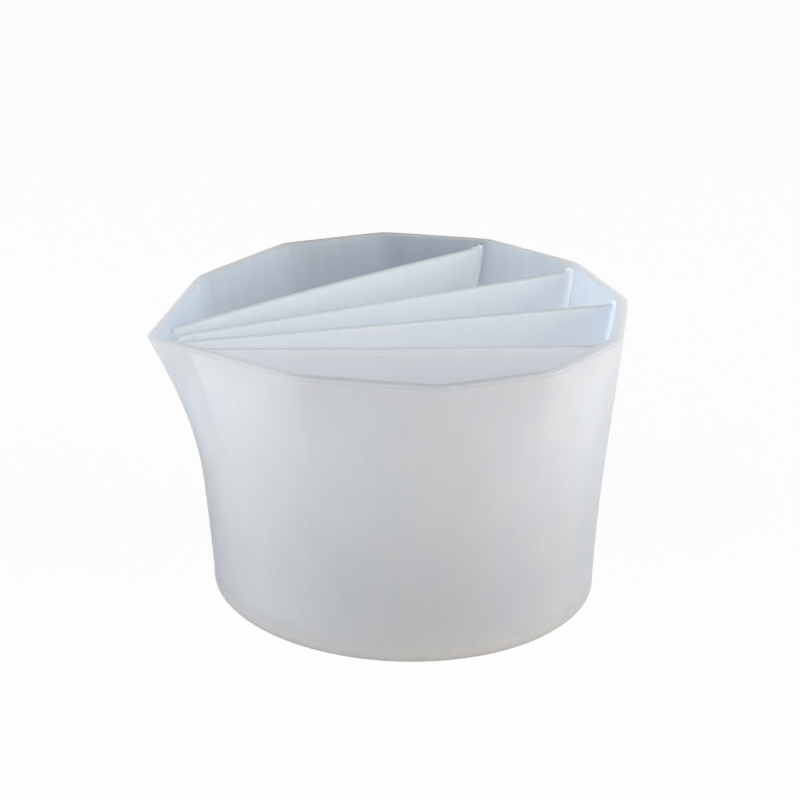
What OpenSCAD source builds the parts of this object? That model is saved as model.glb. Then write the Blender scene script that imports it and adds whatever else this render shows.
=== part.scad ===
// Split pouring cup for resin: a one-piece silicone moulding with a pointed spout and four dividers.
// Origin: centre of the round resting face. +Z is up and the spout points to -X. Sizes in mm.
// The wall is a loft: a circle at the floor, a twelve-sided outline with a pointed spout at the rim.

/* [Cup] */
// Height from the resting face to the top of the rim
cup_h = 55; // [50:1:60]
// Length from the tip of the spout to the flat side opposite
cup_l = 90; // [87:0.5:93]
// Width across the flats of the twelve-sided rim, outside
rim_flats = 79; // [76:0.5:82]
// Diameter of the round base, where the wall starts
base_d = 72.2; // [68:0.2:74]
// Thickness of the floor
floor_t = 2.5; // [2:0.1:3.5]
// Thickness of the wall
wall_t = 2; // [1.6:0.1:2.6]
// Rounding of the lower outer edge of the base
foot_r = 0.8; // [0.3:0.1:1.5]
// Rounding inside, between the floor and the wall
floor_r = 1.5; // [0.5:0.1:2.5]
// Rounding of the two upper edges of the lip
lip_r = 0.35; // [0.1:0.05:0.5]

/* [Spout] */
// Thickness of the spout's flanks at the rim
spout_t = 1.5; // [1.2:0.1:2]
// How far the last flat side runs past its regular corner, at each shoulder of the spout
shoulder_l = 3.7; // [2.5:0.1:4.5]
// Height at which the spout starts to flare out of the round wall
flare_z = 20; // [16:1:28]
// How late the flare bends outward: 1 is a straight slope, 2 a parabola
flare_power = 1.8; // [1.4:0.1:2.4]
// Radius of the tip in plan, at the rim
tip_r = 1.2; // [0.6:0.1:2]
// How much that radius grows for each millimetre down from the rim
tip_growth = 0.55; // [0.3:0.05:0.6]

/* [Dividers] */
// Thickness of a divider
divider_t = 1.2; // [0.9:0.1:1.6]
// How far the tops of the dividers lie under the rim
divider_drop = 1.4; // [1.2:0.1:2.5]
// Distance from the origin, towards the spout, of the point where the dividers would all meet
fan_x = 60; // [58:0.5:62]
// Distance from the origin at which the dividers stop, short of the tip
divider_x = 44; // [43:0.5:45]
// Angle of the two inner dividers to the cup's long axis
inner_angle = 5.6; // [5:0.1:6.2]
// Angle of the two outer dividers to the cup's long axis
outer_angle = 17.9; // [17:0.1:18.8]
// Sideways bow of the far outer divider, halfway along it
far_bow = 1; // [0:0.1:1.5]
// Sideways bow of the near outer divider, halfway along it
near_bow = 0.4; // [0:0.1:1.5]
// Radius of the fillets where a divider runs into the wall and the floor
root_r = 0.9; // [0.5:0.1:1.1]
// Rounding of a divider's upper corner at the spout
nose_r = 1.8; // [1:0.1:3]

/* [Hidden] */
silicone = [0.9, 0.92, 0.95];
silicone_shade = [0.82, 0.87, 0.92];

function dir(a) = [cos(a), sin(a)];
function angle_of(p) = atan2(p.y, p.x);
// How far a rounding of radius r has drawn a surface in, at depth d into its height of r
function drawn_in(r, d) = r - sqrt(max(0, r * r - pow(max(0, d), 2)));
// Where two lines meet, each given by the direction of its normal and its distance from the origin
function meet(a1, d1, a2, d2) =
    [d1 * sin(a2) - d2 * sin(a1), d2 * cos(a1) - d1 * cos(a2)] / sin(a2 - a1);

// Rim outline: flat sides 30 degrees apart, the last of them ending at the spout's shoulders
side_a = 30;
last_a = 120;
last_corner_a = last_a - side_a / 2;
flat_out = rim_flats / 2;
flat_in = flat_out - wall_t;
tip_out = cup_l - flat_out;
regular_out = flat_out / cos(side_a / 2) * dir(last_a + side_a / 2);
shoulder_out = regular_out + shoulder_l * dir(last_a + 90);

// Flank of the spout: straight from the shoulder to the tip, and a parallel line inside
flank_a = atan2(tip_out + shoulder_out.x, -shoulder_out.y);
flank_in = -tip_out * cos(flank_a) - spout_t;
tip_in = -flank_in / cos(flank_a);
shoulder_in = meet(last_a, flat_in, flank_a, flank_in);
sharpest = 0.3;

// Heights: the top of the dividers is also where the rim starts. A rounding of the wall or the lip takes
// steps of step_a round its arc, and the others finer ones of arc_a.
divider_z = cup_h - divider_drop;
fillet_z = floor_t + floor_r;
lip_z = cup_h - lip_r;
wall_steps = 11;
step_a = 30;
arc_a = 15;
wall_levels = concat([for (t = [0 : step_a : 60]) floor_t + floor_r * (1 - cos(t))],
                     [for (i = [0 : wall_steps]) fillet_z + (divider_z - fillet_z) * i / wall_steps]);
rim_levels = concat([divider_z], [for (t = [0 : step_a : 90]) lip_z + lip_r * sin(t)]);

// Directions at which the skins are sampled. Every corner is one of them, so that creases stay sharp,
// and they crowd together towards the tip.
shoulder_a = angle_of(shoulder_out);
inner_shoulder_a = angle_of(shoulder_in);
flat_steps = 5;
spout_steps = 14;
wall_half = concat([for (a = [-side_a / 2 : side_a : last_corner_a - side_a], i = [0 : flat_steps - 1])
                       a + side_a * i / flat_steps],
                   [for (i = [0 : flat_steps])
                       last_corner_a + (shoulder_a - last_corner_a) * i / flat_steps]);
wall_turn = concat([for (i = [len(wall_half) - 1 : -1 : 0]) if (wall_half[i] > 0) -wall_half[i]],
                   [for (a = wall_half) if (a > 0) a]);
spout_half = concat([shoulder_a],
                    [for (i = [0 : spout_steps - 1])
                        180 - (180 - inner_shoulder_a) * pow(1 - i / spout_steps, 2)]);
spout_turn = concat(spout_half, [180], [for (i = [len(spout_half) - 1 : -1 : 0]) 360 - spout_half[i]]);
full_turn = concat(wall_turn, [for (i = [1 : len(spout_turn) - 2]) spout_turn[i]]);

// Flank and nose of the spout in direction a: a straight line from the shoulder that touches a
// round nose of radius r, whose centre lies c in front of the origin
function flank_r(a, corner, c, r) =
    let (
        reach = corner + [c, 0],
        normal = angle_of(reach) + acos(r / norm(reach)),
        touch = r * dir(normal) - [c, 0]
    )
    a < angle_of(touch)
    ? corner * dir(normal) / cos(a - normal)
    : sqrt(r * r - pow(c * sin(a), 2)) - c * cos(a);

// Radius of the rim outline in direction a, which is 0 away from the spout and 180 at its tip
function outline_r(a, flat, corner, tip, nose) =
    a > angle_of(corner)
    ? flank_r(a, corner, tip - nose, nose)
    : flat / cos(a - min(last_a, side_a * round(a / side_a)));

// Radius of a skin of the wall in direction turn and height z. It rises in a straight line from the
// base circle to the outline, and the spout's share comes later, with the flare.
function skin_r(turn, z, start, flat, corner, tip, nose) =
    let (
        a = abs(turn > 180 ? turn - 360 : turn),
        rise = (z - floor_t) / (cup_h - floor_t),
        flare = pow(max(0, z - flare_z) / (cup_h - flare_z), flare_power),
        rim = outline_r(a, flat, corner, tip, nose),
        plain = a > angle_of(corner) ? norm(corner) : rim
    )
    start + (plain - start) * rise + (rim - plain) * flare;

function nose_at(z) = tip_r + tip_growth * (cup_h - max(z, flare_z));
function outer_r(a, z) = skin_r(a, z, base_d / 2, flat_out, shoulder_out, tip_out, nose_at(z));
function bare_r(a, z) =
    skin_r(a, z, base_d / 2 - wall_t, flat_in, shoulder_in, tip_in, max(sharpest, nose_at(z) - spout_t));
// The inner skin also rounds into the floor
function inner_r(a, z) = bare_r(a, z) - drawn_in(floor_r, fillet_z - z);

// Both skins draw in towards each other at the lip
function lip_at(z) = drawn_in(lip_r, z - lip_z);
function ring(turn, z, radii) = [for (i = [0 : len(turn) - 1]) concat(radii[i] * dir(turn[i]), z)];
function outer_ring(turn, z) = ring(turn, z, [for (a = turn) outer_r(a, z) - lip_at(z)]);
function inner_ring(turn, z) = ring(turn, z, [for (a = turn) inner_r(a, z) + lip_at(z)]);

// Two triangles for a four-cornered patch
function patch(a, b, c, d) = [[a, b, c], [a, c, d]];
// Side faces of a stack of levels with n points each, the first point of all at index start
function stack_faces(n, m, start, closed) =
    [for (j = [0 : m - 2], i = [0 : n - (closed ? 1 : 2)])
        let (k = (i + 1) % n, low = start + j * n, high = low + n)
        each patch(low + i, high + i, high + k, low + k)];
function turned(faces) = [for (f = faces) [f[2], f[1], f[0]]];

// Wall between the outer and the inner skin, along the directions in turn and the heights in levels.
// A closed turn gives a full ring, an open one a stretch of wall with two plane ends.
module wall(turn, levels, closed = false) {
    n = len(turn);
    m = len(levels);
    inside = n * m;
    last = n - 1;
    top = (m - 1) * n;
    points = concat([for (z = levels) each outer_ring(turn, z)],
                    [for (z = levels) each inner_ring(turn, z)]);
    edges = [for (i = [0 : closed ? last : last - 1])
        let (k = (i + 1) % n)
        each concat(patch(top + i, inside + top + i, inside + top + k, top + k),
                    patch(i, k, inside + k, inside + i))];
    ends = closed ? [] : [for (j = [0 : m - 2])
        let (low = j * n, high = low + n)
        each concat(patch(low, inside + low, inside + high, high),
                    patch(low + last, high + last, inside + high + last, inside + low + last))];
    polyhedron(points, concat(stack_faces(n, m, 0, closed), turned(stack_faces(n, m, inside, closed)),
                              edges, ends), convexity = 6);
}

// A plan outline lifted to height z
function level(plan, z) = [for (p = plan) concat(p, z)];

// A solid stack of plane outlines with the same number of points
module stack(outlines) {
    n = len(outlines[0]);
    m = len(outlines);
    polyhedron([for (level = outlines) each level],
               concat(stack_faces(n, m, 0, true),
                      [[for (i = [0 : n - 1]) i], [for (i = [n - 1 : -1 : 0]) (m - 1) * n + i]]),
               convexity = 6);
}

// Everything inside the wall, from the floor to the rim. Above the last level but one the inner skin
// is straight where a divider meets it.
module cavity() {
    levels = [for (z = wall_levels) z < divider_z ? z : cup_h];
    stack([for (z = levels) ring(full_turn, z, [for (a = full_turn) inner_r(a, z)])]);
}

// The base is turned: a disc with a rounded lower edge, as wide at its top as the wall that it carries
module base() {
    color(silicone_shade)
    rotate_extrude($fn = 120)
    polygon(concat([[0, 0]],
                   [for (t = [0 : arc_a : 90]) [base_d / 2 - foot_r * (1 - sin(t)), foot_r * (1 - cos(t))]],
                   [[base_d / 2, floor_t], [0, floor_t]]));
}

module outer_wall() {
    color(silicone)
    wall(wall_turn, wall_levels);
}

module pour_spout() {
    color(silicone)
    wall(spout_turn, wall_levels);
}

module rim() {
    color(silicone_shade)
    wall(full_turn, rim_levels, closed = true);
}

// Line of a divider: it leaves the fan point at angle a, and shift is the distance to its left
function on_line(a, s, shift) = [-fan_x, 0] + s * dir(a) + shift * dir(a + 90);
function start_s(a) = (fan_x - divider_x) / cos(a);
// How far along that line the inner skin is met, closing in from a first radius
function reach_s(a, z, shift, radius, tries = 5) =
    let (s = fan_x * cos(a) + sqrt(radius * radius - pow(fan_x * sin(a) + shift, 2)))
    tries == 0 ? s : reach_s(a, z, shift, bare_r(angle_of(on_line(a, s, shift)), z), tries - 1);
// The bow is a parabola between the divider's two ends at the rim
function bow_at(a, s, bow) =
    let (u = (s - start_s(a)) / (reach_s(a, cup_h, 0, flat_in) - start_s(a))) 4 * bow * u * (1 - u);

// Fillet in the corner between a divider's face and the wall. side is 1 on the left face, -1 on the
// right one. It runs from the face to the wall, sunk into both by bite, and ends deep in the wall.
fillet_steps = 4;
fillet_view = 4;
bite = 0.055;
function root(a, z, side, bow) =
    let (
        shift = side * (divider_t / 2 - bite) + bow_at(a, reach_s(a, z, 0, flat_in), bow),
        corner = on_line(a, reach_s(a, z, shift, flat_in) + bite, shift),
        corner_a = angle_of(corner),
        beside_a = corner_a + side * fillet_view,
        beside = bare_r(beside_a, z) * dir(beside_a) - corner,
        along = beside / norm(beside),
        back = -dir(a),
        middle = (along + back) / norm(along + back),
        half = acos(middle * back),
        centre = corner + middle * root_r / sin(half),
        from = a - side * 90,
        sweep = side * (180 - 2 * half)
    )
    concat([for (i = [0 : fillet_steps]) centre + root_r * dir(from + sweep * i / fillet_steps)],
           [corner + along * root_r + wall_t / 2 * dir(corner_a)]);

// Foot print of a divider's root at height z, anticlockwise: right fillet, then left fillet
function root_plan(a, z, bow) =
    let (left = root(a, z, 1, bow))
    concat(root(a, z, -1, bow), [for (i = [len(left) - 1 : -1 : 0]) left[i]]);

// A divider's foot runs into the floor with fillets too, which start inside its faces
foot_levels = [for (t = [0 : step_a : 90]) floor_t + root_r * (1 - cos(t))];
function foot_half(z) = divider_t / 2 - bite + drawn_in(root_r, floor_t + root_r - z);
// Foot print at height z, anticlockwise: right face out, then left face back
function foot_plan(a, stops, z, bow) =
    concat([for (s = stops) on_line(a, s, bow_at(a, s, bow) - foot_half(z))],
           [for (i = [len(stops) - 1 : -1 : 0])
               on_line(a, stops[i], bow_at(a, stops[i], bow) + foot_half(z))]);

// Upright post as thick as a divider, at distance s along its line
module post(a, s, bow) {
    translate(on_line(a, s, bow_at(a, s, bow)))
    rotate(a)
    cylinder(h = cup_h, d = divider_t, $fn = 12);
}

// Side view of a divider along its line: rounded at the spout, swept up to the rim at the wall
module side_view(a) {
    first = start_s(a) - bite;
    last = reach_s(a, divider_z, 0, flat_in) + bite;
    polygon(concat([[first, 0]],
                   [for (t = [0 : arc_a : 90])
                       [first + nose_r * (1 - cos(t)), divider_z - nose_r * (1 - sin(t))]],
                   [for (t = [0 : arc_a : 90])
                       [last - root_r * (1 - sin(t)), divider_z + root_r * (1 - cos(t))]],
                   [[last + cup_h, divider_z + root_r], [last + cup_h, 0]]));
}

// A divider is a bowed sheet of posts joined two by two, with filleted roots at the wall and the floor.
// It is trimmed to the cavity, so that its foot and both its ends seat on the faces they meet.
bow_steps = 10;
module divider(a, bow) {
    first = start_s(a) + divider_t / 2;
    step = (reach_s(a, cup_h, 0, flat_in) - first) / bow_steps;
    stops = [for (i = [0 : bow_steps]) first + i * step];
    color(silicone)
    intersection() {
        cavity();
        union() {
            for (i = [1 : bow_steps])
                hull() {
                    post(a, stops[i - 1], bow);
                    post(a, stops[i], bow);
                }
            stack([for (z = [0, cup_h]) level(root_plan(a, z, bow), z)]);
            stack([for (z = concat([0], foot_levels)) level(foot_plan(a, stops, z, bow), z)]);
        }
        translate([-fan_x, 0, 0])
        rotate([90, 0, a])
        linear_extrude(height = rim_flats, center = true)
        side_view(a);
    }
}

module divider_1() { divider(outer_angle, far_bow); }
module divider_2() { divider(inner_angle, 0); }
module divider_3() { divider(-inner_angle, 0); }
module divider_4() { divider(-outer_angle, -near_bow); }

base();
outer_wall();
pour_spout();
rim();
divider_1();
divider_2();
divider_3();
divider_4();
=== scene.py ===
from math import acos, atan2, cos, floor, hypot, pi, radians, sin, sqrt, tan

import bmesh
import bpy
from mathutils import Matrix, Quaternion, Vector


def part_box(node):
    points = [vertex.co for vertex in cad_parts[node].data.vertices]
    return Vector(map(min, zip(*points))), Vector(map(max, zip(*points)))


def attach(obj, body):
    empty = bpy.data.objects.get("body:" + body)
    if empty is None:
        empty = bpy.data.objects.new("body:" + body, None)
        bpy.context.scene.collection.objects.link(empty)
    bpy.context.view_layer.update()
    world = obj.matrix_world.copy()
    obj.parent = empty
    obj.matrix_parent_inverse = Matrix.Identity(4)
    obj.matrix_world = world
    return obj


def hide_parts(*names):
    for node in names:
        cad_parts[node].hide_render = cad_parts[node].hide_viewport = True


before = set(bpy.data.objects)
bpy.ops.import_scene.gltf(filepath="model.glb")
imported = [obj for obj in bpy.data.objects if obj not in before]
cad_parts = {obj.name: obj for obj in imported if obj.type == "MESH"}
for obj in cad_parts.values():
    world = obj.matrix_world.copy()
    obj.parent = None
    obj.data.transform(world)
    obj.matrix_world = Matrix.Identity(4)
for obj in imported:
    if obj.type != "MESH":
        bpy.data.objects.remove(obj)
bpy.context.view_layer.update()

# Cup body: one moulding of milky silicone rubber, cast round a core and pulled off it when cured. The
# foot is round, the wall turns into a twelve-sided rim on its way up, and one side of it flares out
# into a pointed spout. Floor, wall and rim are one skin without a seam.
mm = 0.001
foot_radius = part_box("base")[1][0]
floor_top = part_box("base")[1][2]
rim_low, rim_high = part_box("rim")
cup_top = rim_high[2]
flat_reach = rim_high[1]
tip_reach = -rim_low[0]
wall = 2 * mm
spout_wall = 1.5 * mm
foot_round = 0.8 * mm
floor_round = 1.5 * mm
shoulder_run = 3.7 * mm
flare_start = 20 * mm
flare_power = 1.8
tip_round = 1.2 * mm
tip_growth = 0.55
side_turn = radians(30)
last_side = radians(120)
lip_round = 0.35 * mm
sharp_crease = 0.6 * mm
crease_growth = 0.25


def corner_of(flat):
    """The shoulder of the spout, where the last flat side ends, for a rim whose flats are that far out."""
    corner = Vector((cos(last_side + side_turn / 2), sin(last_side + side_turn / 2)))
    along = Vector((cos(last_side + pi / 2), sin(last_side + pi / 2)))
    return corner * flat / cos(side_turn / 2) + along * shoulder_run


def cross_point(turn_1, reach_1, turn_2, reach_2):
    """Where two lines in plan meet, each given by its normal's direction and its distance from the axis."""
    x = reach_1 * sin(turn_2) - reach_2 * sin(turn_1)
    y = reach_2 * cos(turn_1) - reach_1 * cos(turn_2)
    return Vector((x, y)) / sin(turn_2 - turn_1)


def turn_of(point):
    return atan2(point.y, point.x)


shoulder_out = corner_of(flat_reach)
flank_turn = atan2(tip_reach + shoulder_out.x, -shoulder_out.y)
flank_reach = -tip_reach * cos(flank_turn) - spout_wall
shoulder_in = cross_point(last_side, flat_reach - wall, flank_turn, flank_reach)
tip_in = -flank_reach / cos(flank_turn)


def flank_radius(turn, shoulder, tip, nose):
    """The spout in plan: a straight flank from the shoulder that runs into a round nose."""
    centre = tip - nose
    reach = shoulder + Vector((centre, 0))
    normal = turn_of(reach) + acos(nose / reach.length)
    touch = Vector((nose * cos(normal) - centre, nose * sin(normal)))
    if turn < turn_of(touch):
        return (shoulder.x * cos(normal) + shoulder.y * sin(normal)) / cos(turn - normal)
    return sqrt(nose * nose - (centre * sin(turn)) ** 2) - centre * cos(turn)


def creased(first, second, width):
    """The nearer of two stretches of skin, with the crease between them rounded over that width."""
    power = flat_reach / (2 * tan(side_turn / 2) * width)
    near, far = min(first, second), max(first, second)
    return near * (1 + (near / far) ** power) ** (-1 / power)


def side_radius(turn, side, flat):
    return flat / max(0.01, cos(turn - side))


def skin_radius(turn, height, start, flat, shoulder, tip, nose):
    """Distance of the skin from the axis. It rises straight from the round foot to the flat sides of
    the rim, and the spout's share comes later and faster. Creases get wider and softer downwards."""
    turn = abs(turn)
    rise = (height - floor_top) / (cup_top - floor_top)
    flare = (max(0, height - flare_start) / (cup_top - flare_start)) ** flare_power
    width = sharp_crease + crease_growth * (cup_top - height)
    side = min(last_side - side_turn, side_turn * floor(turn / side_turn))
    past = turn - turn_of(shoulder)
    held = turn_of(shoulder) + (past - hypot(past, width / flat)) / 2
    here = side_radius(turn, side, flat)
    plain = creased(here, side_radius(held, side + side_turn, flat), width)
    rim = creased(here, side_radius(turn, side + side_turn, flat), width)
    if turn > pi / 2:
        rim = creased(rim, flank_radius(turn, shoulder, tip, nose), width)
    return start + (plain - start) * rise + (rim - plain) * flare


def nose_at(height):
    return tip_round + tip_growth * (cup_top - max(height, flare_start))


def outside(turn, height):
    return skin_radius(turn, height, foot_radius, flat_reach, shoulder_out, tip_reach, nose_at(height))


def inside(turn, height):
    nose = max(0.3 * mm, nose_at(height) - spout_wall)
    return skin_radius(turn, height, foot_radius - wall, flat_reach - wall, shoulder_in, tip_in, nose)


# Directions of the skin's columns. A crease between two sides has a column close by on either hand,
# so that it is a narrow rounded edge and not a knife's. Columns crowd together towards the nose.
crease = 0.4 * mm / flat_reach
corners = [radians(degree) for degree in (-15, 15, 45, 75, 105)] + [turn_of(shoulder_out)]
side_steps = 8
half_turn = []
for low, high in zip(corners, corners[1:]):
    low, high = low + crease, high - crease
    half_turn += [low + (high - low) * step / side_steps for step in range(side_steps + 1)]
half_turn = [turn for turn in half_turn if turn > 0.001]
spout_steps = 26
spout_crowding = 1.6
spout_from = corners[-1] + crease
for step in range(spout_steps):
    half_turn.append(pi - (pi - spout_from) * (1 - step / spout_steps) ** spout_crowding)
columns = [-turn for turn in reversed(half_turn)] + [0] + half_turn + [pi]

bpy.ops.object.select_all(action="DESELECT")
bpy.ops.mesh.primitive_circle_add(vertices=len(columns), radius=foot_radius, fill_type="NGON")
cup = bpy.context.object
cup.name = "cup_body"
bpy.ops.object.mode_set(mode="EDIT")
skin = bmesh.from_edit_mesh(cup.data)
for point, turn in zip(skin.verts, columns):
    radius = foot_radius - foot_round
    point.co = (radius * cos(turn), radius * sin(turn), 0)
skin.normal_update()
if skin.faces[:][0].normal.z > 0:
    bpy.ops.mesh.flip_normals()
bpy.ops.mesh.select_mode(type="EDGE")


def next_ring(height, radius_at):
    """Extrudes the open ring of the skin and takes it to a height, each point at its own distance."""
    bpy.ops.mesh.extrude_edges_move()
    for point in bmesh.from_edit_mesh(cup.data).verts:
        if point.select:
            turn = atan2(point.co.y, point.co.x)
            radius = radius_at(turn, height)
            point.co = (radius * cos(turn), radius * sin(turn), height)


bpy.ops.mesh.select_all(action="SELECT")
bpy.ops.mesh.region_to_loop()
for degree in (30, 60, 90):
    lean = radians(degree)
    width = foot_radius - foot_round * (1 - sin(lean))
    next_ring(foot_round * (1 - cos(lean)), lambda turn, height: width)
wall_steps = 30
for step in range(wall_steps + 1):
    next_ring(floor_top + (cup_top - floor_top) * step / wall_steps, outside)
for step in range(wall_steps + 1):
    next_ring(cup_top - (cup_top - floor_top - floor_round) * step / wall_steps, inside)
for degree in (60, 30, 0):
    lean = radians(degree)
    sunk = floor_round * (1 - sin(lean))
    next_ring(floor_top + floor_round * (1 - cos(lean)), lambda turn, height: inside(turn, height) - sunk)
bpy.ops.mesh.edge_face_add()
bpy.ops.mesh.select_all(action="SELECT")
bpy.ops.mesh.normals_make_consistent(inside=False)
bpy.ops.mesh.select_all(action="DESELECT")
skin = bmesh.from_edit_mesh(cup.data)
for edge in skin.edges:
    level = all(abs(point.co.z - cup_top) < 0.01 * mm for point in edge.verts)
    turns = [point.co.xy.normalized() for point in edge.verts]
    edge.select = level and (turns[0] - turns[1]).length > 1e-6
bmesh.update_edit_mesh(cup.data)
bpy.ops.mesh.bevel(offset=lip_round, segments=3, clamp_overlap=True)
bpy.ops.object.mode_set(mode="OBJECT")
bpy.ops.object.shade_smooth()
cup.modifiers.new("even_shading", "WEIGHTED_NORMAL").keep_sharp = True
bpy.ops.object.modifier_apply(modifier="even_shading")

let_through = 0.8


def milky_silicone(name, levels, tints, depth, roughness, mottled, drawn):
    """Silicone that light goes into and comes back out of; depth is how far it gets on average. Part of
    the light of the lamps also gets straight through to what stands behind. levels are heights in
    millimetres with the colour there, and tints are colours that multiply it at degrees round the cup,
    with 0 opposite the spout, -90 in front and 180 at the spout. The mass is warmer and cooler in patches,
    as strongly as mottled says, the mould leaves faint upright draw marks, as strong as drawn says, and
    a few bubbles show as specks."""
    silicone = bpy.data.materials.new(name)
    silicone.use_nodes = True
    nodes, links = silicone.node_tree.nodes, silicone.node_tree.links
    shader = nodes["Principled BSDF"]
    shader.inputs["IOR"].default_value = 1.41
    shader.inputs["Subsurface Weight"].default_value = 1
    shader.inputs["Subsurface Radius"].default_value = (1, 1, 1)
    shader.inputs["Subsurface Scale"].default_value = depth
    place = nodes.new("ShaderNodeTexCoord")

    def noise(scale, detail, stretch):
        """Noise between 0 and 1 with that many features a metre, drawn out upwards by stretch."""
        squeeze = nodes.new("ShaderNodeMapping")
        squeeze.inputs["Scale"].default_value = (scale, scale, scale / stretch)
        pattern = nodes.new("ShaderNodeTexNoise")
        pattern.inputs["Scale"].default_value = 1
        pattern.inputs["Detail"].default_value = detail
        links.new(place.outputs["Object"], squeeze.inputs["Vector"])
        links.new(squeeze.outputs["Vector"], pattern.inputs["Vector"])
        return pattern.outputs["Fac"]

    def spread(value, low, high, to_low, to_high):
        """Takes the stretch from low to high of a value to the one from to_low to to_high."""
        step = nodes.new("ShaderNodeMapRange")
        for socket, number in zip(list(step.inputs)[1:5], (low, high, to_low, to_high)):
            socket.default_value = number
        links.new(value, step.inputs["Value"])
        return step.outputs["Result"]

    def shaded(tone, share, red, green, blue):
        """Multiplies a colour by another one, as far as the share says."""
        mix = nodes.new("ShaderNodeMix")
        mix.data_type = "RGBA"
        mix.blend_type = "MULTIPLY"
        links.new(share, mix.inputs["Factor"])
        links.new(tone, mix.inputs[6])
        mix.inputs[7].default_value = (red, green, blue, 1)
        return mix.outputs[2]

    apart = nodes.new("ShaderNodeSeparateXYZ")
    links.new(place.outputs["Object"], apart.inputs["Vector"])

    def ramped(value, low, high, stops):
        """A colour that changes along a value, with stops between low and high."""
        ramp = nodes.new("ShaderNodeValToRGB")
        links.new(spread(value, low, high, 0, 1), ramp.inputs["Fac"])
        ramp.color_ramp.elements.remove(ramp.color_ramp.elements[-1])
        for number, (spot, colour) in enumerate(stops):
            share = (spot - low) / (high - low)
            stop = ramp.color_ramp.elements.new(share) if number else ramp.color_ramp.elements[0]
            stop.position = share
            stop.color = (*colour, 1)
        return ramp.outputs["Color"]

    turn = nodes.new("ShaderNodeMath")
    turn.operation = "ARCTAN2"
    links.new(apart.outputs["Y"], turn.inputs[0])
    links.new(apart.outputs["X"], turn.inputs[1])
    height_stops = [(height * mm, tone) for height, tone in levels]
    turn_stops = [(radians(degree), tint) for degree, tint in tints]
    by_height = ramped(apart.outputs["Z"], 0, cup_top, height_stops)
    by_turn = ramped(turn.outputs["Value"], -pi, pi, turn_stops)
    kept = nodes.new("ShaderNodeMix")
    kept.data_type = "RGBA"
    kept.blend_type = "MULTIPLY"
    kept.inputs["Factor"].default_value = 1
    links.new(by_height, kept.inputs[6])
    links.new(by_turn, kept.inputs[7])
    patches = noise(70, 3, 1)
    marks = noise(420, 4, 5)
    bubbles = nodes.new("ShaderNodeTexVoronoi")
    bubbles.inputs["Scale"].default_value = 200
    links.new(place.outputs["Object"], bubbles.inputs["Vector"])
    tone = shaded(kept.outputs[2], spread(patches, 0.42, 0.65, 0, mottled), 0.93, 0.95, 1)
    tone = shaded(tone, spread(patches, 0.35, 0.58, mottled, 0), 1, 0.99, 0.95)
    tone = shaded(tone, spread(marks, 0.3, 0.7, 0, drawn), 0.85, 0.85, 0.85)
    tone = shaded(tone, spread(bubbles.outputs["Distance"], 0.02, 0.045, 1, 0), 0.8, 0.8, 0.8)
    links.new(tone, shader.inputs["Base Color"])
    links.new(spread(patches, 0.3, 0.7, roughness - 0.05, roughness + 0.05), shader.inputs["Roughness"])
    grain = nodes.new("ShaderNodeBump")
    grain.inputs["Strength"].default_value = 0.15
    grain.inputs["Distance"].default_value = 0.03 * mm
    links.new(noise(1400, 2, 1), grain.inputs["Height"])
    links.new(grain.outputs["Normal"], shader.inputs["Normal"])
    lamp_light = nodes.new("ShaderNodeLightPath")
    clear = nodes.new("ShaderNodeBsdfTransparent")
    blend = nodes.new("ShaderNodeMixShader")
    links.new(spread(lamp_light.outputs["Is Shadow Ray"], 0, 1, 0, let_through), blend.inputs["Fac"])
    links.new(shader.outputs["BSDF"], blend.inputs[1])
    links.new(clear.outputs["BSDF"], blend.inputs[2])
    links.new(blend.outputs["Shader"], nodes["Material Output"].inputs["Surface"])
    return silicone


# Tones of the moulding by height and round it. They are fitted tones, and most of them are painted light
# and shade.
# The foot and the wall near the rim are lighter than the lower wall: the light band at the foot is painted
# light reflected up from the table, and the darker lower wall is painted shade. The lip is a little greyer,
# as painted shade along its rounded edge. Round the cup the outside is painted with the colour of the
# light, warmer in front and cooler and darker towards the sides and the spout. The inside is darker than
# the outside as painted shade, and bluer, and it is darker still low on its wall and at the wide end of the
# compartment behind the first divider, also as painted shade.
wall_depth = 20 * mm
cup.data.materials.clear()
# Painted light and shade by height: a light warm band of painted table light at the foot, and painted shade
# on the lower wall.
wall_painted_light_levels = [(0, (0.86, 0.82, 0.79)), (1.2, (0.76, 0.72, 0.69)), (3, (0.57, 0.575, 0.6))]
wall_painted_light_levels += [(12, (0.565, 0.575, 0.605)), (28, (0.655, 0.66, 0.685)), (50, (0.715, 0.725, 0.755))]
# The lip's rounded edge and top are greyer: painted shade along the rounded edge.
lip_painted_shade_levels = [(54.2, (0.72, 0.73, 0.75)), (54.6, (0.58, 0.6, 0.64))]
lip_painted_shade_levels += [(54.85, (0.55, 0.57, 0.61)), (55, (0.56, 0.59, 0.64))]
outside_painted_light_levels = wall_painted_light_levels + lip_painted_shade_levels
# Painted colour of the light round the outside: warmer in front and behind, cooler opposite the spout, and
# cooler and darker towards the spout.
outside_painted_light_tint = [(-180, (0.88, 0.915, 0.93)), (-150, (0.9, 0.93, 0.95)), (-125, (0.965, 0.975, 0.975))]
outside_painted_light_tint += [(-95, (1, 0.98, 0.925)), (-65, (1, 0.98, 0.925)), (-25, (0.96, 1, 1.04))]
outside_painted_light_tint += [(40, (0.96, 1, 1.04))]
outside_painted_light_tint += [(90, (1, 0.98, 0.925)), (125, (0.965, 0.975, 0.975)), (150, (0.9, 0.93, 0.95))]
outside_painted_light_tint += [(180, (0.88, 0.915, 0.93))]
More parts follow.
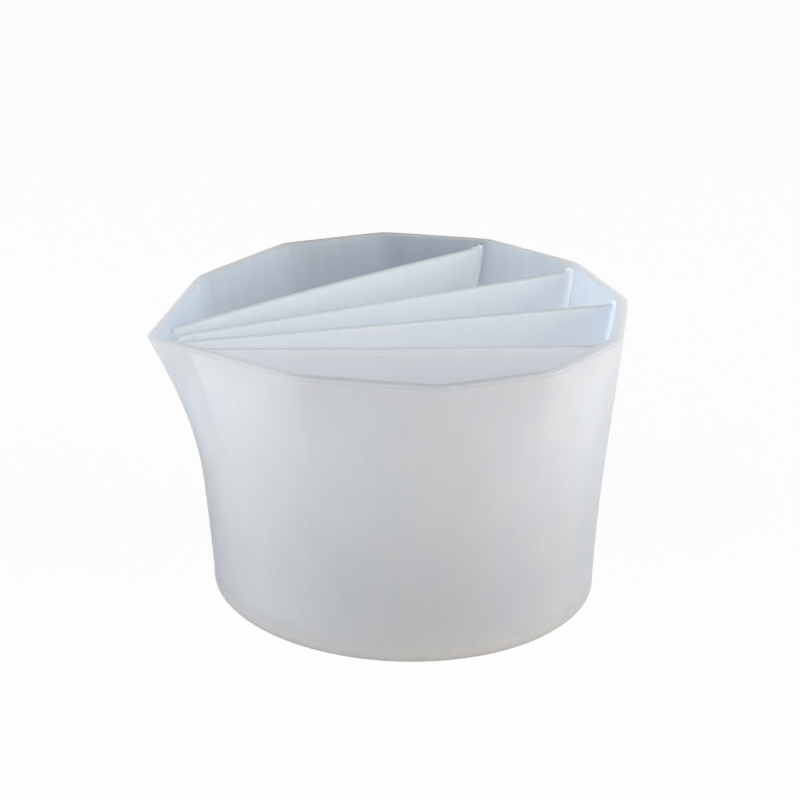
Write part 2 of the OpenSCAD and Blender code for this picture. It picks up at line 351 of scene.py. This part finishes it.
# Painted shade round the inside: darker at the wide end of the compartment behind the first divider, and
# lightest opposite the spout, where a narrow strip beside the third divider's end would otherwise read
# dark.
inside_painted_shade_shares = [(-180, 0.88), (-45, 0.9), (-15, 0.97), (8, 0.95), (17, 0.8), (42, 0.78), (48, 0.6)]
inside_painted_shade_shares += [(72, 0.62), (78, 0.83), (110, 0.86), (180, 0.88)]
inside_painted_shade_tint = [(degree, (share, share, share)) for degree, share in inside_painted_shade_shares]
# The inside's tone by height: darker than the outside as painted shade and bluer, and darkest low on its
# wall, also as painted shade.
inside_painted_shade_levels = [(0, (0.56, 0.59, 0.63)), (3.2, (0.5, 0.52, 0.55)), (6, (0.31, 0.325, 0.34))]
inside_painted_shade_levels += [(18, (0.32, 0.34, 0.37)), (36, (0.43, 0.525, 0.655))]
outer_silicone = milky_silicone(
    "silicone_outside", outside_painted_light_levels, outside_painted_light_tint, wall_depth, roughness=0.42, mottled=0.9, drawn=0.15
)
inner_silicone = milky_silicone(
    "silicone_inside", inside_painted_shade_levels, inside_painted_shade_tint, wall_depth, roughness=0.5, mottled=0.8, drawn=0.4
)
cup.data.materials.append(outer_silicone)
cup.data.materials.append(inner_silicone)
skin_margin = 0.2 * mm
for face in cup.data.polygons:
    middle = face.center
    turn = atan2(middle.y, middle.x)
    height = max(middle.z, floor_top)
    within = inside(turn, height) + skin_margin - hypot(middle.x, middle.y)
    face.material_index = 1 if within > 0 and middle.z > floor_top / 2 else 0
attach(cup, "root")
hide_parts("base", "outer_wall", "pour_spout", "rim")

# Dividers: four thin upright sheets of the same silicone, moulded in one with the cup. They fan out
# from a point in front of the spout, stop short of its tip, and run into floor and wall with fillets.
divider_thick = 1.2 * mm
divider_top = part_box("outer_wall")[1][2]
fan_reach = 60 * mm
front_reach = 44 * mm
root_round = 0.9 * mm
nose_round = 0.9 * mm
sheet_edge_round = 0.22 * mm
foot_crowding = 1.15
sink = 0.15 * mm
far_end = 110 * mm


def on_line(turn, along, aside):
    """A point in plan on a divider's line, which leaves the fan point in that direction."""
    x = along * cos(turn) - aside * sin(turn) - fan_reach
    y = along * sin(turn) + aside * cos(turn)
    return Vector((x, y))


def gap_to_wall(point, height):
    """Room between a point in plan and the inner skin, square to the skin."""
    turn, step = turn_of(point), 0.002
    slope = (inside(turn + step, height) - inside(turn - step, height)) / (2 * step)
    radius = inside(turn, height)
    return (radius - point.length) / hypot(1, slope / radius)


def reach(turn, height, aside, end):
    """How far along its line a divider meets the wall at a height, on its way from the middle of the
    cup to a distance that lies outside."""
    within, beyond = fan_reach, end
    for tries in range(20):
        middle = (within + beyond) / 2
        if gap_to_wall(on_line(turn, middle, aside), height) > 0:
            within = middle
        else:
            beyond = middle
    return within


def fillet(gap):
    """How much a fillet has widened a sheet at that distance from what it runs into."""
    gap = min(max(gap, 0), root_round)
    return root_round - sqrt(root_round**2 - (root_round - gap) ** 2)


# Tones of the sheets by height, painted light and shade. They are darker towards the floor and a little
# darker again towards the top edge, both as painted shade, and the nearest sheet, which stands in the near
# wall's shade, is a lighter copy as painted light.
sheet_depth = 2 * mm
plain_tint = [(0, (1, 1, 1))]
thin_painted_shade_levels = [(0, (0.7, 0.7, 0.7)), (20, (0.75, 0.77, 0.79)), (40, (0.87, 0.91, 0.97))]
thin_painted_shade_levels += [(52.9, (0.83, 0.875, 0.94)), (53.4, (0.81, 0.9, 1.0))]
thin_silicone = milky_silicone(
    "silicone_dividers", thin_painted_shade_levels, plain_tint, sheet_depth, roughness=0.42, mottled=0.3, drawn=0.1
)
# A lighter copy of the sheets' tones for the fourth sheet, nearest the front wall: painted light in the
# near wall's shade.
near_painted_light_levels = [(0, (0.7, 0.7, 0.7)), (20, (0.78, 0.78, 0.78)), (40, (0.97, 0.97, 0.985))]
near_painted_light_levels += [(52.9, (0.94, 0.94, 0.96)), (53.4, (0.85, 0.91, 1.0))]
near_painted_light_silicone = milky_silicone(
    "silicone_near_divider_painted_light", near_painted_light_levels, plain_tint, sheet_depth, roughness=0.42, mottled=0.3, drawn=0.1
)


def make_divider(name, degree, bow, silicone):
    """bow is how far the sheet stands out sideways halfway along it."""
    turn = radians(degree)
    bpy.ops.object.select_all(action="DESELECT")
    bpy.ops.mesh.primitive_grid_add(x_subdivisions=56, y_subdivisions=34, size=2)
    sheet = bpy.context.object
    sheet.name = name
    front = (fan_reach - front_reach) / cos(turn)
    full = reach(turn, cup_top, 0, far_end) - front
    place = {}
    for point in sheet.data.vertices:
        across, up = point.co.x, (point.co.y + 1) / 2
        share = (1 + across * (1.5 - 0.5 * across**2)) / 2
        height = floor_top - sink + (divider_top - floor_top + sink) * up**foot_crowding
        first = max(front, reach(turn, height, 0, 0) - sink)
        last = reach(turn, height, 0, far_end) + sink
        along = first + (last - first) * share
        aside = 4 * bow * (along - front) / full * (1 - (along - front) / full)
        top = divider_top + fillet(gap_to_wall(on_line(turn, along, aside), divider_top))
        top -= nose_round - sqrt(max(0, nose_round**2 - max(0, nose_round - along + front) ** 2))
        height = min(height, top) if up < 1 else top
        spot = on_line(turn, along, aside)
        point.co = (spot.x, spot.y, height)
        place[point.index] = (along, aside, across)
    solid = sheet.modifiers.new("thickness", "SOLIDIFY")
    solid.thickness = divider_thick
    solid.offset = 0
    bpy.ops.object.modifier_apply(modifier="thickness")
    count = len(place)
    for point in sheet.data.vertices:
        along, aside, across = place[point.index % count]
        spot, height = point.co.xy, point.co.z
        room = min(gap_to_wall(spot, height), height - floor_top)
        left = (spot - on_line(turn, along, aside)).dot(Vector((-sin(turn), cos(turn)))) > 0
        aside += (divider_thick / 2 + fillet(room)) * (1 if left else -1)
        if across > 0.999:
            along = reach(turn, height, aside, far_end) + sink
        elif across < -0.999:
            along = max(along, reach(turn, height, aside, 0) - sink)
        point.co.xy = on_line(turn, along, aside)
    bpy.ops.object.shade_smooth()
    edges = sheet.modifiers.new("soft_edges", "BEVEL")
    edges.width = sheet_edge_round
    edges.segments = 3
    edges.limit_method = "ANGLE"
    edges.angle_limit = radians(50)
    bpy.ops.object.modifier_apply(modifier="soft_edges")
    sheet.modifiers.new("even_shading", "WEIGHTED_NORMAL")
    bpy.ops.object.modifier_apply(modifier="even_shading")
    sheet.data.materials.clear()
    sheet.data.materials.append(silicone)
    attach(sheet, "root")
    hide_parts(name[len("sheet_"):])


make_divider("sheet_divider_1", 17.9, 1 * mm, thin_silicone)
make_divider("sheet_divider_2", 5.6, 0, thin_silicone)
make_divider("sheet_divider_3", -5.6, 0, thin_silicone)
make_divider("sheet_divider_4", -17.9, -0.4 * mm, near_painted_light_silicone)

# Studio: a pale table top that runs out of sight, under broad soft lamps. The camera sees it white, with
# the cup's shadow on it, and the cup gets less light back from it than from white paper.
table_size = 8
table_glow = 0.94
bpy.ops.object.select_all(action="DESELECT")
bpy.ops.mesh.primitive_plane_add(size=table_size)
table = bpy.context.object
table.name = "table_top"
paint = bpy.data.materials.new("pale_table")
paint.use_nodes = True
nodes, links = paint.node_tree.nodes, paint.node_tree.links
matt = nodes["Principled BSDF"]
matt.inputs["Base Color"].default_value = (0.6, 0.6, 0.6, 1)
matt.inputs["Roughness"].default_value = 0.9
paper = nodes.new("ShaderNodeBsdfDiffuse")
paper.inputs["Color"].default_value = (0.95, 0.95, 0.95, 1)
glow = nodes.new("ShaderNodeEmission")
glow.inputs["Strength"].default_value = 1
white = nodes.new("ShaderNodeMixShader")
white.inputs["Fac"].default_value = table_glow
seen = nodes.new("ShaderNodeLightPath")
blend = nodes.new("ShaderNodeMixShader")
links.new(paper.outputs["BSDF"], white.inputs[1])
links.new(glow.outputs["Emission"], white.inputs[2])
links.new(seen.outputs["Is Camera Ray"], blend.inputs["Fac"])
links.new(matt.outputs["BSDF"], blend.inputs[1])
links.new(white.outputs["Shader"], blend.inputs[2])
links.new(blend.outputs["Shader"], nodes["Material Output"].inputs["Surface"])
table.data.materials.append(paint)


def add_lamp(name, azimuth, elevation, distance, size, power):
    """A square soft box that looks at the cup. Azimuth 0 stands on the -Y side and 90 at +X."""
    turn, lift = radians(azimuth), radians(elevation)
    away = Vector((sin(turn) * cos(lift), -cos(turn) * cos(lift), sin(lift)))
    bpy.ops.object.light_add(type="AREA")
    lamp = bpy.context.object
    lamp.name = name
    lamp.data.shape = "SQUARE"
    lamp.data.size = size
    lamp.data.energy = power
    lamp.location = away * distance + Vector((0, 0, 0.03))
    lamp.rotation_euler = away.to_track_quat("Z", "Y").to_euler()


add_lamp("left_box", -105, 15, 1.0, 0.7, 3.9)
add_lamp("left_front_box", -62, 15, 1.0, 0.5, 2.9)
add_lamp("left_high_box", -80, 45, 1.0, 0.6, 2.1)
add_lamp("right_box", 75, 15, 1.0, 0.7, 4.3)
add_lamp("right_front_box", 45, 12, 1.0, 0.5, 4.8)

room_light = 0.22
world = bpy.data.worlds.new("white_room")
bpy.context.scene.world = world
world.use_nodes = True
nodes, links = world.node_tree.nodes, world.node_tree.links
air = nodes["Background"]
air.inputs["Color"].default_value = (1, 1, 1, 1)
air.inputs["Strength"].default_value = room_light
white = nodes.new("ShaderNodeBackground")
white.inputs["Strength"].default_value = 1
seen = nodes.new("ShaderNodeLightPath")
blend = nodes.new("ShaderNodeMixShader")
links.new(seen.outputs["Is Camera Ray"], blend.inputs["Fac"])
links.new(air.outputs["Background"], blend.inputs[1])
links.new(white.outputs["Background"], blend.inputs[2])
links.new(blend.outputs["Shader"], nodes["World Output"].inputs["Surface"])
bpy.context.scene.view_settings.view_transform = "Standard"

# Camera: in front of the cup and above it, turned towards the spout, with a long lens.
azimuth, elevation, roll = radians(-22.96), radians(22.75), radians(1.48)
aim = Vector((4.04, 13.32, 30.0)) * mm
back = Vector((sin(azimuth) * cos(elevation), -cos(azimuth) * cos(elevation), sin(elevation)))
bpy.ops.object.camera_add(location=aim + back * 480.8 * mm)
camera = bpy.context.object
camera.rotation_euler = (back.to_track_quat("Z", "Y") @ Quaternion((0, 0, 1), roll)).to_euler()
camera.data.lens = 112.5
camera.data.sensor_width = 36
bpy.context.scene.camera = camera
